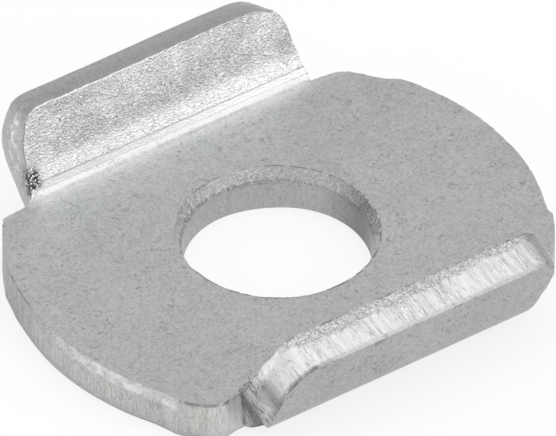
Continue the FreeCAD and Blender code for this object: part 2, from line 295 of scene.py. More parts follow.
low_lip = on("low_left", "low_tip", "low_right")
tall_lip = on("tall_left", "tall_tip", "tall_right")
low_edge, tall_edge = on("low_tip"), on("tall_tip")
corner_left = bell(out_x, -7.3, 1.1) * (out_y < -LINE - 2.6)
end_soft = low_lip * step(out_x, 8.5, 9.1)


def soft_rim(plain, tall, less_at_tip, more_at_end):
    """Width or height of the soft rim: the plain size, less at the low lip's edge and left corner,
    more along the tall lip and at the low lip's right end."""
    size = plain * (1 - 0.75 * low_edge) + (tall - less_at_tip * tall_edge) * tall_lip
    return (size + more_at_end * end_soft) * (1 - 0.75 * corner_left)


roll_wide = soft_rim(0.09 + 0.02 * wander(along, 1.7, 1) + 0.01 * wander(along, 0.4, 2),
                     0.08, 0.06, 0.20)
roll_high = soft_rim(0.16 + 0.04 * wander(along, 2.1, 3), 0.14, 0.08, 0.45)
burr = np.clip(0.04 + 0.05 * wander(along, 0.28, 27), 0, 0.12) * bell(out_x, -7.4, 1.0)
burr *= out_y < -LINE - 1.8

torn_from = 1.62 + 0.10 * wander(along, 0.9, 4) + 0.07 * wander(along, 0.32, 5)
torn_from += 0.03 * wander(along, 0.13, 6)
torn_from += 0.45 * corner_left
torn_from += 0.45 * on("low_left") * (1 - step(-out_y, LINE + 1.3, LINE + 2.2))
low_line = np.interp(out_x, [-6.2, -3.0, 0.0, 4.0, 7.0, 8.4], [0.0, 0.0, 0.06, 0.2, 0.42, 0.5])
torn_from += low_edge * (low_line - 0.05 + 0.05 * wander(along, 0.5, 26)) * (1 - corner_left)
torn_from += 0.7 * on("left_side") * np.maximum(step(out_y, 0.3, 3.2), step(-out_y, 8.0, 8.5))

scores = (0.55 * wander(along, 0.34, 7) + 0.3 * wander(along, 0.16, 8)
          + 0.25 * np.abs(wander(along, 0.8, 9)))
score_look = 0.8 - 0.65 * tall_lip
torn_look = 0.55 - 0.45 * tall_lip + 0.1 * low_lip
cut_bright = (low_edge * (1 - step(out_x, 8.42, 8.5))
              + 0.75 * step(out_x, -8.35, -8.0) * on("low_left"))
groove = (bell(out_x, -6.35, 0.09) + 0.4 * bell(out_x, 8.42, 0.08)
          + 0.3 * bell(out_x, 8.15, 0.06)) * (out_y < -LINE - 2)
print("torn from %.2f to %.2f mm up" % (torn_from.min(), torn_from.max()))

# %% [markdown]
# `wall_grid` builds the wall as a grid of outline place by height: a quarter ellipse for the soft
# rim, then even rows up to the sharp rim. The tall lip's left side was cut at a slant: SLANT says
# how far its top rim lies back, by the distance past the bend line.

# %% The wall
ROLL_ROWS, BODY_ROWS = 6, 18
RIM_SHARE = 0.975
SLANT = ([-0.05, 0.35, 1.3, 2.5, 4.0, 5.4, 6.2], [0, 0.42, 0.56, 0.52, 0.36, 0.24, 0.12])


def outwards(points):
    """Directions square to a closed anticlockwise line, pointing out of it: the step to the next
    point plus the step from the last one, turned by a quarter turn."""
    ahead = unit(np.roll(points, -1, axis=0) - points)
    behind = unit(points - np.roll(points, 1, axis=0))
    both = unit(ahead + behind)
    square = np.column_stack([both[:, 1], -both[:, 0]])
    stretch = 1 / np.clip((both * ahead).sum(axis=1), 0.6, 1)
    return square * stretch[:, None]


def wall_grid():
    """Inset and height of each row, and where it is torn or bare. Soft rim: inset =
    wide (1 - sin a), height = high (1 - cos a) for a from 0 to a quarter turn. Above it: scores in
    the sheared band, grain in the torn band, the grooves and the slants. The burr stands out at
    the foot."""
    turn = np.linspace(0, np.pi / 2, ROLL_ROWS)[:, None]
    share = np.concatenate([np.linspace(0, 1, BODY_ROWS)[1:-1], [RIM_SHARE, 1]])[:, None]
    height = roll_high + (THICK - roll_high) * share
    inset = np.vstack([roll_wide * (1 - np.sin(turn)), np.zeros_like(height)])
    height = np.vstack([roll_high * (1 - np.cos(turn)), height])
    torn = step(height, torn_from - 0.05, torn_from + 0.05)
    bare = step(height, 0.12, 0.5) * (1 - torn)
    inset += 0.03 * (0.5 - 0.5 * scores) * bare
    place = along + 0 * height
    rough = (0.6 * grain(place, height, 0.19, 11) + 0.5 * grain(place, height, 0.4, 12)
             + 0.4 * np.abs(grain(place, height, 0.27, 13)))
    inset += torn * (0.02 + 0.035 * rough)
    inset += 0.10 * groove * window(height, 0.05, 0.3, 1.9, 2.2)
    slant = np.maximum(on("tall_left") * np.interp(out_y - LINE, *SLANT), 0.12 * tall_edge)
    inset += slant * step(height, 0.9, THICK)
    inset += 0.065 * tall_edge * step(height, 2.44, THICK)
    inset = np.maximum(inset, 0.0) - burr * (1 - np.clip((height - 0.3) / 2.0, 0, 1))
    return inset, height, torn, bare


inset, height, torn, bare = wall_grid()
out = outwards(outline)
wall = np.dstack([out_x - inset * out[:, 0], out_y - inset * out[:, 1], height])
print("wall", wall.shape[0], "rows by", wall.shape[1])

# %% [markdown]
# The faces of the plate and the lips start where the wall ends. The plate is a fan of straight
# lines from the hole's rim to the outline. Each lip is a sheet of rows across it, from the bend
# line to the tip, and the rows bulge towards the tip's own shape as they near it.

# %% The faces
PLATE_ROWS = 20


def lip_rows(rim, left, tip, right):
    """Rows across a lip. left, right: side points from the bend line to the tip's ends. Row j is
    the straight line between left j and right j, plus the tip's own bulge times how near the row
    is to the tip (smooth step)."""
    a, b = rim[left][:, None, :], rim[right][:, None, :]
    run = np.hypot(*np.diff(rim[tip], axis=0).T)
    share = (np.concatenate([[0], np.cumsum(run)]) / run.sum())[None, :, None]
    rows = a * (1 - share) + b * share
    bulge = rim[tip] - rows[-1]
    reach = np.abs(rim[left][:, 1])
    near = step(reach, reach[0] + 1.2, reach[-1])[:, None, None]
    near[-1] = 1
    return rows + near * bulge[None]


def flat_faces(rim):
    """Both lips and the plate's edge for one side of the sheet. rim: where the wall ends."""
    tall = lip_rows(rim, run_of("tall_left")[::-1], run_of("tall_tip")[::-1], run_of("tall_right"))
    low = lip_rows(rim, run_of("low_left"), run_of("low_tip"), run_of("low_right")[::-1])
    edge = np.vstack([rim[run_of("right_side")][:-1], tall[0, ::-1], rim[run_of("left_side")][1:-1],
                      low[0]])[:-1]
    return tall, low, edge


tall_top, low_top, edge_top = flat_faces(wall[-1])
tall_under, low_under, edge_under = flat_faces(wall[0])
print("plate edge", len(edge_top), "points, tall lip", tall_top.shape, "low lip", low_top.shape)

# %% [markdown]
# ## The hole
# The hole was punched from below too: smooth for its lower two thirds, then torn open to a wider,
# ragged rim. Its grid is angle by height, and its radius is a function of both. It has one column
# for each point of the plate's edge, so that straight lines join the two.

# %% The hole's wall
HOLE = 5.25
HOLE_ROWS = 24


def hole_grid(edge):
    """Radius by angle and height: HOLE in the smooth part, with a small soft rim below; above the
    ragged line it grows by the torn slope, plus grain."""
    angle = np.arctan2(edge[:, 1], edge[:, 0])
    share = np.linspace(0, 1, HOLE_ROWS)[:, None]
    level = THICK * share + 0 * angle
    arc_run = angle * HOLE
    line = 1.72 + 0.09 * wander(arc_run + 40, 1.3, 21) + 0.05 * wander(arc_run + 40, 0.35, 22)
    line -= 0.1 * bell(angle, 2.4, 0.9)
    open_share = np.clip((level - line) / (THICK - line), 0, 1)
    torn_here = step(level, line - 0.02, line + 0.06)
    flare = 0.33 + 0.08 * bell(angle, 2.6, 0.8) + 0.03 * wander(arc_run + 40, 0.9, 23)
    rough = (0.55 * grain(arc_run + 60, level, 0.17, 24)
             + 0.5 * grain(arc_run + 60, level, 0.33, 25))
    radius = HOLE + flare * open_share ** 0.8 + torn_here * 0.05 * rough
    radius = np.maximum(radius, HOLE) - (0.05 + 0.18 * bell(angle, 1.12, 0.5)) * (1 - share) ** 1.5
    return np.dstack([radius * np.cos(angle), radius * np.sin(angle), level]), torn_here


hole_wall, hole_torn = hole_grid(edge_top)
print("hole wall", hole_wall.shape)


def fan(inner, outer, rows):
    """Straight lines from the hole's rim to the plate's edge, cut into rows that lie closer
    together at the edge."""
    share = np.linspace(0, 1, rows)[:, None, None]
    share = 1 - (1 - share) ** 1.6
    return inner[None] * (1 - share) + outer[None] * share


plate_top = fan(hole_wall[-1], edge_top, PLATE_ROWS)
plate_under = fan(hole_wall[0], edge_under, PLATE_ROWS)
print("plate", plate_top.shape, "on each side")

# %% [markdown]
# ## Folding
# A bend squeezes the inside of the sheet and stretches the outside. At the ends of the bend the
# squeezed metal is pushed out sideways and the stretched metal is drawn in, so the outer corner of
# each bend looks pinched. Both are done flat, before the fold.
#
# PINCH gives, for each end of the bends, places past the bend line and how far the outer skin is
# drawn in there. SWELL and RISE are how far the inner skin is pushed out, at the bend and up the
# leaf.

# %% Pinch the ends of the bends
PINCH = {
    "tall_left": ([-1.6, -0.6, 0.0, 0.9, 1.35, 2.3, 3.3, 4.3, 4.9, 5.5, 6.0],
                  [0, 0.1, 0.5, 1.08, 1.06, 0.82, 0.54, 0.37, 0.38, 0.50, 0.55]),
    "tall_right": ([-1.6, -0.6, 0.0, 0.7, 1.3, 2.0, 2.8, 4.2, 5.5],
                   [0, 0.1, 0.5, 0.95, 0.9, 0.7, 0.45, 0.2, 0.1]),
    "low_left": ([-0.3, 0.0, 0.2, 0.3, 0.36, 0.43, 0.52, 0.78, 1.0, 1.34, 1.66, 2.0, 2.6, 3.3,
                  3.6, 4.5],
                 [0, 0.05, 0.15, 0.24, 0.38, 0.62, 0.92, 0.86, 0.50, 0.18, 0.2, 0.2, -0.15, -0.3,
                  -0.18, -0.1]),
    "low_right": ([-1.6, -0.6, 0.0, 0.7, 1.04, 1.55, 2.0, 2.3, 2.8, 3.6, 4.3],
                  [0, 0.5, 1.4, 1.5, 1.55, 1.30, 1.0, 0.78, 0.55, 0.15, -0.15])}
SWELL = {"tall_right": 0.10, "low_left": 0.10, "low_right": 0.10}
RISE = {"low_right": 0.2}
HALF_WIDTH = {"tall_left": 10.0, "tall_right": 8.95, "low_left": 9.3, "low_right": 10.1}


def inside_lip(x, past, name):
    """True across the lip's width, a tenth more past the bend line, and false for the plate's own
    corners outside it."""
    return np.abs(x) <= HALF_WIDTH[name] + np.where(past > 0.02, 0.1, 0.0)


def pinched(flat):
    """Sideways squeeze near a bend's ends. x moves inwards by the pinch, in proportion to
    (1 - z / THICK)^1.3, and outwards by the swell and the rise, in proportion to (z / THICK)^2. The
    move fades from the lip's side towards its middle. Beside the low lip's left end the plate's
    own corner was pressed 0.33 mm outwards."""
    x, y, z = flat.T
    past = np.abs(y) - LINE
    outer = np.clip(1 - z / THICK, 0, 1) ** 1.3
    inner = np.clip(z / THICK, 0, 1) ** 2
    shift = np.zeros_like(x)
    for name, (places, table) in PINCH.items():
        wide = HALF_WIDTH[name]
        here = ((y > 0) == name.startswith("tall")) & ((x > 0) == name.endswith("right"))
        side = step(np.abs(x) / wide, 0.55, 1.0) * ((past > 0) | (np.abs(x) <= wide + 0.001))
        side = np.where(past < 0, side * step(np.abs(x) / wide, 0.8, 1.0), side)
        pull = np.interp(past, places, table)
        swell = (SWELL.get(name, 0.0) * bell(past, 0.9, 0.9)
                 + RISE.get(name, 0.0) * step(past, 2.0, 3.2))
        move = side * (inner * swell - outer * pull)
        shift = np.where(here & inside_lip(x, past, name), move, shift)
    near_edge = step(-y, 8.2, 9.6)
    pressed_out = 0.33 * step((-x - 9.3) / (0.08 + 1.1 * (1 - near_edge)), 0, 1)
    pressed_out = pressed_out * (1 - step(-x, 10.3, 11.7)) * step(-y, 7.6, 9.5)
    corner = ~inside_lip(x, past, "low_left")
    lean = 0.22 * outer * window(-x, 9.35, 9.4, 9.45, 9.9) * near_edge * (y < 0)
    pressed_out = pressed_out * corner + 0.1 * outer * (pressed_out > 0.32)
    return np.column_stack([x + np.sign(x) * shift + lean * corner, y - pressed_out * (y < 0), z])


# %% [markdown]
# The fold keeps the length of one layer of the sheet. A flat distance past the bend line becomes
# an angle, and past the whole bend it becomes a distance up the leaf.
#
# The inner corner of each bend was struck flat by the tool's nose: instead of a tight round groove
# there are three narrow facets, nearly flat at the foot and steep above. After the fold, the inner
# skin is laid onto them. FACET_FOOT and FACET_TOP say where they begin on the plate and end on the
# leaf, for the tall and the low lip. The tables give their shape in shares.

# %% Fold
FACET_FOOT, FACET_TOP = (9.27, 9.42), (0.793, 0.7)
TALL_THINNING = 0.035
FACET_SHARES = [0.0, 0.168, 0.546, 1.0]
FACET_RUNS = [0.0, 0.57, 0.824, 1.0]
FACET_RISES = [0.0, 0.06, 0.413, 1.0]


def folded(flat, source):
    """Flat place (x, y, z) to its place on the bent washer. Past the bend line, the angle is the
    flat distance over NEUTRAL, up to the full turn; the rest runs straight up the leaf. The
    sheet thins slightly in the middle of the tall bend. source holds the places before the pinch,
    which tell a lip from the plate's own corners beside it."""
    x, y, z = flat.T
    tall = y > 0
    turn = np.where(tall, TALL_TURN, LOW_TURN)
    past = np.abs(y) - LINE
    left = np.where(tall, -HALF_WIDTH["tall_left"], -HALF_WIDTH["low_left"])
    right = np.where(tall, HALF_WIDTH["tall_right"], HALF_WIDTH["low_right"])
    wide = np.where(np.abs(source[:, 1]) > LINE + 0.02, 0.1, 1e-6)
    lip = (past > 0) & (source[:, 0] >= left - wide) & (source[:, 0] <= right + wide)
    angle = np.clip(past / NEUTRAL, 0, turn)
    beyond = np.clip(past - NEUTRAL * turn, 0, None)
    thin = 1 - np.where(tall, TALL_THINNING, 0.0) * np.sin(np.pi * angle / turn) ** 2
    arm = INNER + (THICK - z) * thin
    bent_y = LINE + arm * np.sin(angle) + beyond * np.cos(angle)
    bent_z = THICK + INNER - arm * np.cos(angle) + beyond * np.sin(angle)
    new_y = np.where(lip, bent_y, np.abs(y))
    new_z = np.where(lip, bent_z, z)
    foot, up_leaf = np.where(tall, *FACET_FOOT), np.where(tall, *FACET_TOP)
    corner_y = LINE + INNER * np.tan(turn / 2)
    end_y, end_z = corner_y + up_leaf * np.cos(turn), THICK + up_leaf * np.sin(turn)
    last = NEUTRAL * turn + up_leaf - INNER * np.tan(turn / 2)
    share = np.clip((past + LINE - foot) / (last + LINE - foot), 0, 1)
    facet_y = foot + (end_y - foot) * np.interp(share, FACET_SHARES, FACET_RUNS)
    facet_z = THICK + (end_z - THICK) * np.interp(share, FACET_SHARES, FACET_RISES)
    on_facet = (share > 0) & (share < 1) & (lip | (past <= 0))
    near_side = step(np.minimum(source[:, 0] - left, right - source[:, 0]), -0.02, 0.05)
    skin = np.where(on_facet, step(z, THICK - 0.35, THICK) * near_side, 0.0)
    new_y = new_y * (1 - skin) + facet_y * skin
    new_z = new_z * (1 - skin) + facet_z * skin
    return np.column_stack([x, np.where(tall, 1.0, -1.0) * new_y, new_z])


# %% [markdown]
# ## One closed mesh
# The grids share their border points exactly, so equal points are merged and the surface closes.
# Marks for the finish travel with the points: how torn and how sheared the metal is, the run along
# the outline, which points are the sheet's own skin, and where the cut is bright.

# %% Join the grids
MARKS = ("torn", "sheared", "run", "skin", "bright_cut")
grids = []


def add(points, turned=False, wrap=False, **given):
    """Notes one grid with its marks. wrap closes it all round; turned flips its faces."""
    shape = points.shape[:2]
    values = [np.broadcast_to(np.asarray(given.get(name, 0.0), float), shape) for name in MARKS]
    grids.append((points, turned, wrap, np.stack(values, axis=-1)))


speckled = on("tall_left") * bell(height, 1.35, 0.5) * bell(out_y, LINE + 4.6, 1.6)
# rim_line is a painted highlight: a bright line along the tall lip's tip rim, given through
# bright_cut.
rim_line = tall_edge * step(height, 2.36, 2.46)
add(wall, torn=np.maximum(torn * torn_look, 0.5 * speckled), sheared=bare * score_look,
    run=along, wrap=True, bright_cut=np.maximum(bare * cut_bright, 0.9 * rim_line))
add(hole_wall, torn=hole_torn, sheared=0.25 * (1 - hole_torn), wrap=True, turned=True,
    run=np.arctan2(edge_top[:, 1], edge_top[:, 0]) * HOLE + 200)
add(plate_top, wrap=True, turned=True, skin=1)
add(plate_under, wrap=True, skin=1)
add(tall_top, skin=1)
add(tall_under, turned=True, skin=1)
add(low_top, turned=True, skin=1)
add(low_under, skin=1)


def joined():
    """All grids as one list of points, faces and marks. Each cell of a grid is a face."""
    points, faces, marks, base = [], [], [], 0
    for grid, turned, wrap, values in grids:
        rows, cols = grid.shape[:2]
        number = base + np.arange(rows * cols).reshape(rows, cols)
        if wrap:
            number = np.hstack([number, number[:, :1]])
        corners = [number[:-1, :-1], number[:-1, 1:], number[1:, 1:], number[1:, :-1]]
        quads = np.stack([c.ravel() for c in corners], axis=1)
        faces.append(quads[:, ::-1] if turned else quads)
        points.append(grid.reshape(-1, 3))
        marks.append(values.reshape(-1, len(MARKS)))
        base += rows * cols
    points, faces, marks = np.vstack(points), np.vstack(faces), np.vstack(marks)
    _, first, number = np.unique(np.round(points, 4), axis=0, return_index=True,
                                 return_inverse=True)
    return points[first], number.ravel()[faces], points[faces.ravel()], marks[faces.ravel()]


flat_points, faces, corner_points, marks = joined()
bent = folded(pinched(flat_points), flat_points)
print("points", len(bent), "faces", len(faces), "box",
      np.round([bent.min(axis=0), bent.max(axis=0)], 3).tolist())

# %% [markdown]
# ## Marks left by the press, with painted light
# Each mark is a number between 0 and 1 at every corner of every face, worked out from its place on
# the flat sheet: struck facets, dimpled skin and thin dark lines on the tall lip's inner side, and
# bright patches and shaded places on the cut edges. Part of this is painted light: painted
# highlights on the facets, rims and struck faces, a painted glow on the plate beside the tall bend,
# the lower inner face of the tall lip lifted towards white, and the shade mark, which is painted
# shade in creases, in the hole, under the burr and on sides turned away from the lamps.

# %% Marks left by the press, painted highlights and painted shade
x, y, z = corner_points.T
run, skin = marks[:, MARKS.index("run")], marks[:, MARKS.index("skin")]
edge, past, reach = 1 - skin, np.abs(y) - LINE, np.hypot(x, y)
disc = edge * (past < 0.35) * (reach > 8)
bore, low, tall = edge * (reach < 7), edge * (y < 0), edge * (y > 0)
NEAR_RIM = 2.43


def face_marks():
    """Marks on the sheet's own skin, and the fan of lines at the low lip's left end. first, second
    and third are the struck facets, and leaf is the distance up the tall lip's leaf. The facets'
    bright is partly their burnish and partly a painted highlight, the glow on the plate beside the
    bend is painted light, lift paints the lower inner face towards white as painted light, and
    shade is painted shade along the facets' creases and on parts of the inner face."""
    leaf = past - NEUTRAL * TALL_TURN
    # The struck facets get the bright mark: partly their burnish, partly a painted highlight.
    first = window(past, -0.45, -0.28, 0.03, 0.10)
    second = window(past, 0.05, 0.12, 0.90, 1.02)
    third = step(past, 0.90, 1.02) * (1 - step(leaf, 0.50, 0.58))
    top = (y > 0) * step(z, 1.6, 2.3)
    inside = top * skin
    # lift is painted light: it lifts the lower inner face of the tall lip towards white.
    lift = np.interp(leaf, [0.55, 1.2, 1.45, 1.8, 2.2, 3.0, 3.6], [1, 1, 0.75, 0.2, 0, 0, 0.07])
    lift = inside * step(leaf, 0.5, 0.6) * (lift + 0.12 * step(np.abs(x + 1), 6.0, 8.0))
    dots = step(wander(x + 20, 0.35, 31), -0.5, 0.5) * window(x, -8, -6, 4.5, 6)
    # Painted shade: dark lines along the facets' creases, and darker patches of the inner face.
    lines = (0.8 * bell(leaf, 0.53, 0.045) + 0.15 * bell(past, 1.08, 0.05)
             + 1.5 * bell(past, 0.03, 0.07) * (0.25 + 0.75 * dots))
    shade = inside * (0.42 * lines + 0.10 * bell(x, -1.0, 4.5) * bell(leaf, 2.3, 0.6)
                      + 0.28 * step(x, 6.8, 8.2) * step(leaf, 0.8, 1.6))
    # Painted light: the plate is painted brighter just before the tall bend.
    painted_glow = 0.16 * np.exp(-np.clip(-past - 0.36, 0, None) / 0.38) * (past < 0)
    bright = inside * np.maximum(0.15 * first + 0.45 * second + 1.0 * third, painted_glow) - shade
    return {"bright": np.clip(bright, 0, 1),
            "dimpled": inside * np.maximum(step(leaf, 0.50, 0.60), 0.45 * third),
            "dark": top * step(-x, 8.50, 8.95) * window(leaf, -0.5, 0.2, 1.1, 2.0),
            "lift": np.clip(lift, 0, 1),
            "shade": shade,
            "fans": edge * (x < -8.5) * (y < 0) * window(past, 0.45, 0.6, 2.0, 2.6)}


def patches(pitch, fine_pitch, fine_share, seed, low, high):
    """Patches on the cut edge: a coarse and a fine grain added up and cut off by the smooth step
    from low to high."""
    both = grain(run, z, pitch, seed) + fine_share * grain(run, z, fine_pitch, seed + 1)
    return step(both, low, high)


def wall_bright():
    """Brighter places on the cut edges: patches of the torn band along the disc's left front, the
    edge beside the low lip, the struck face on the low lip's left end painted brighter as a
    highlight, with specks next to it, the hole's torn band, a painted highlight along the tall
    lip's rim, and painted glints up its left side."""
    front = disc * (x < 0)
    band = front * window(-y, -1.0, 2.5, 8.2, 8.6) * step(z, 1.55, 1.85)
    bright = 0.60 * band * (0.3 + 0.7 * patches(0.5, 0.22, 0.7, 41, -0.7, 0.9))
    bright += 0.30 * front * step(-y, 9.1, 9.5) * window(-x, 9.3, 9.7, 10.8, 11.6)
    # Painted highlight on the struck face at the low lip's left end.
    bright += 0.62 * low * bell(x, -7.75, 0.75) * step(past, 2.4, 2.8) * step(z, 0.3, 0.45)
    specks = patches(0.24, 0.12, 0.6, 45, -0.1, 0.7)
    bright += 0.35 * specks * low * (x < -8.2) * step(past, 1.2, 1.6) * step(z, 1.7, 2.0)
    bright += 0.45 * bore * step(z, 1.7, 1.9)
    # Painted highlight: a bright line along the tall lip's rim.
    bright += 0.9 * tall * (past > 4) * (x > -8.8) * (z > NEAR_RIM)
    # Painted glints: bright specks up the tall lip's left side.
    specks = patches(0.24, 0.13, 0.6, 43, -0.2, 0.6)
    bright += tall * (x < -8) * bell(z, 1.5, 0.35) * bell(past, 4.5, 1.5) * specks
    return np.clip(bright, 0, 1)


def wall_shade():
    """Darker places on the cut edges: the foot of the disc's edge, its far left end with a ragged
    line under the top rim, the hole and its right side, three places round the low lip's left end,
    its right end, its rim, and the tall lip's tip and inner rim."""
    ragged = step(wander(run, 0.45, 32) + 0.5 * wander(run, 0.15, 33), -0.3, 0.5)
    shade = disc * (0.60 * (1 - step(z, 0.03, 0.16)) + 0.08 * (1 - step(z, 0.2, 1.6)))
    left_end = disc * (x < 0) * step(y, -1.0, 6.5)
    shade += 0.50 * left_end
    rim_line = np.maximum(left_end, disc * (x < -9.5) * step(-y, 8.0, 8.6))
    shade += 0.7 * rim_line * ragged * step(z, 2.20, 2.36)
    shade += bore * (0.12 + 0.7 * bell(np.arctan2(y, x), -0.12, 0.45))
    end = low * (x < -5) * (past > 0.02)
    triangle = window(past, 0.24, 0.42, 0.54, 0.66) * (x < -8.9)
    shade += 0.95 * end * triangle * (1 - step(z, 1.7, 2.1))
    corner = end * bell(x, -6.7, 1.3) * (past > 2.5)
    shade += 1.4 * corner * (0.4 + 0.6 * ragged) * (1 - step(z, 0.10, 0.30))
    shade += 0.75 * end * bell(past, 2.45, 0.5) * (1 - step(z, 1.6, 2.1))
    shade += 0.22 * low * step(x, 8.5, 8.65) * (past > 0.5)
    shade += 0.8 * low * (past > 1.6) * (z > NEAR_RIM) * (0.3 + 0.7 * ragged)
    shade += 0.10 * tall * (past > 4) * step(x, -8, -6) * (z < NEAR_RIM)
    shade += 0.8 * edge * (y > LINE + 1.0) * (x < -8.6) * (z > NEAR_RIM)
    return np.clip(shade, 0, 0.9)


press_marks = face_marks()
press_marks["bright"] = np.maximum(press_marks["bright"], wall_bright())
press_marks["shade"] = np.clip(press_marks["shade"] + wall_shade(), 0, 1)
print("marks:", ", ".join(press_marks))

# %% Put it into a mesh
SHARP = np.radians(38)
mesh = bpy.data.meshes.new("washer_surface")
mesh.from_pydata((bent * MM).tolist(), [], faces.tolist())
print("faces to mend:", mesh.validate())


def mark(name, values, kind="FLOAT"):
    """Stores one value or one vector for every corner of every face, so that a mark can end
    sharply at a rim."""
    layer = mesh.attributes.new(name, kind, "CORNER")
    layer.data.foreach_set("value" if kind == "FLOAT" else "vector",
                           np.ascontiguousarray(values, dtype=np.float32).ravel())


for name, values in zip(MARKS, marks.T):
    mark(name, values)
mark("blank", corner_points, "FLOAT_VECTOR")
for name, values in press_marks.items():
    mark(name, values)
mesh.shade_smooth()
mesh.set_sharp_from_angle(angle=SHARP)
washer = placed("washer_surface", mesh)
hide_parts("clamping_washer")
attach(washer, "root")

# %% [markdown]
# ## Finish: bright zinc on sheared and pressed steel
# One coat of zinc covers everything, but it shows what lies under it. Rolled skin is a matt,
# slightly blotched grey with small dark pits and hair scratches. Sheared metal is brighter and
# scored in one direction. Torn metal glitters. Where the press squeezed the tall lip's inner face,
# the skin is bright and dimpled; near the bend it is lifted further as painted light. Each of the
# four is a node group that gives out masks and a height, and one metal shader mixes them by the
# marks that the mesh carries, with painted highlights and painted shade among them.

# %% Small helpers for nodes
SOCKET_KINDS = {"Place": "Vector", "Tint": "Color"}


def fill(node, inputs):
    """Fills a node's sockets with values or with links."""
    for key, value in inputs.items():
        if isinstance(value, bpy.types.NodeSocket):
            node.id_data.links.new(value, node.inputs[key])
        else:
            node.inputs[key].default_value = value


def put(kind, inputs=None, tree=None, **options):
    """Adds a node, sets its options and fills its sockets. It goes into the tree that its links
    come from, unless a tree is given."""
    inputs = inputs or {}
    tree = tree or next(v.id_data for v in inputs.values() if isinstance(v, bpy.types.NodeSocket))
    made = tree.nodes.new(kind)
    for key, value in options.items():
        setattr(made, key, value)
    fill(made, inputs)
    return made


def maths(kind, a, b=0.0, clamp=False):
    """One sum of two values. clamp keeps the result between 0 and 1."""
    return put("ShaderNodeMath", {0: a, 1: b}, operation=kind, use_clamp=clamp).outputs[0]


def times(a, b):
    """The product of two values."""
    return maths("MULTIPLY", a, b)


def between(value, low, high, first=0.0, last=1.0):
    """Turns low..high into first..last along the smooth step."""
    return put("ShaderNodeMapRange", {"Value": value, "From Min": low, "From Max": high,
                                      "To Min": first, "To Max": last},
               interpolation_type="SMOOTHSTEP").outputs["Result"]


def noise(place, scale, detail=2.0, rough=0.5, twist=0.0):
    """A cloudy pattern, scale lumps to the metre, around 0.5."""
    return put("ShaderNodeTexNoise", {"Vector": place, "Scale": scale, "Detail": detail,
                                      "Roughness": rough, "Distortion": twist}).outputs["Fac"]


def ridges(pattern, width):
    """Thin lines where a cloudy pattern crosses its middle: 1 where it is 0.5, 0 a width away."""
    off = maths("ABSOLUTE", maths("SUBTRACT", pattern, 0.5))
    return between(off, 0.0, width, 1.0, 0.0)


def stretched(place, factors, turn=0.0):
    """The place scaled differently each way, which draws a pattern out into streaks."""
    return put("ShaderNodeMapping", {"Vector": place, "Scale": factors,
                                     "Rotation": (0, 0, turn)}).outputs["Vector"]


def blend(share, a, b, kind="MIX"):
    """Mixes two colours."""
    return put("ShaderNodeMix", {0: share, 6: a, 7: b}, data_type="RGBA",
               blend_type=kind).outputs[2]


def dimmed(colour, level):
    """The colour times a grey level."""
    return blend(1.0, colour, (level, level, level, 1), "MULTIPLY")


def new_group(name, inputs, outputs):
    """An empty node group, its inputs and its output node. A socket carries a plain value unless
    SOCKET_KINDS says otherwise."""
    group = bpy.data.node_groups.new(name, "ShaderNodeTree")
    for way, titles in (("INPUT", inputs), ("OUTPUT", outputs)):
        for title in titles:
            group.interface.new_socket(
                title, in_out=way, socket_type="NodeSocket" + SOCKET_KINDS.get(title, "Float"))
    given, result = group.nodes.new("NodeGroupInput"), group.nodes.new("NodeGroupOutput")
    return group, given.outputs, result


# %% [markdown]
# ### Rolled skin
# Three sizes of cloud make the blotches, and two more give a trace of blue and pink. Pits are the
# tips of a fine noise, let through only where a coarse noise allows, so that they gather in groups.
# Hair scratches are the middle lines of a cloud, shown only here and there, so they stay short.

# %% Rolled skin group
def skin_group():
    """From the place: the skin's tint, a mask of its pits and scratches, and a height."""
    group, given, result = new_group("rolled_skin", ["Place"], ["Tint", "Dark", "Height"])
    place = given["Place"]
    fine, middle = noise(place, 8200, 2, 0.65), noise(place, 1500, 3, 0.6)
    tint = blend(between(noise(place, 260, 3), 0.3, 0.7),
                 (0.94, 0.955, 0.945, 1), (1, 1, 1, 1))
    for turn, scale, low, high, hue in ((0.6, 330, 0.55, 0.75, (0.98, 0.982, 1.0, 1)),
                                        (2.2, 420, 0.6, 0.78, (1.0, 0.985, 0.987, 1))):
        cloud = noise(stretched(place, (1, 1, 1), turn), scale, 1)
        tint = blend(between(cloud, low, high), tint, hue)
    for pattern, level in ((fine, 0.75), (middle, 0.94)):
        tint = blend(between(pattern, 0.30, 0.62), dimmed(tint, level), tint)
    dark = times(between(noise(place, 4300, 2, 0.6), 0.60, 0.70),
                 between(noise(place, 420, 2), 0.44, 0.62))
    for shift, scale, least in ((0.0, 620, 0.55), (3.0, 900, 0.555), (7.0, 420, 0.58)):
        shifted = put("ShaderNodeVectorMath", {0: place, 1: (shift, shift, shift)},
                      operation="ADD").outputs[0]
        scratch = ridges(noise(shifted, scale, 3, 0.6, 0.8), 0.014)
        where = between(noise(shifted, scale * 1.9, 2), least, least + 0.06)
        dark = maths("MAXIMUM", dark, times(scratch, times(where, 0.85)))
    height = maths("SUBTRACT", times(fine, 0.6), dark)
    fill(result, {"Tint": tint, "Dark": dark, "Height": height})
    return group


# %% [markdown]
# ### Sheared band, torn band and pressed skin
# The scored lines are noise that changes fast along the outline and slowly through the sheet, so
# they run nearly straight across the edge and fan out with the bend. Torn metal is a fine cell
# pattern with bright tips. The pressed skin has bright lumps, drawn out along the bend, and pits.

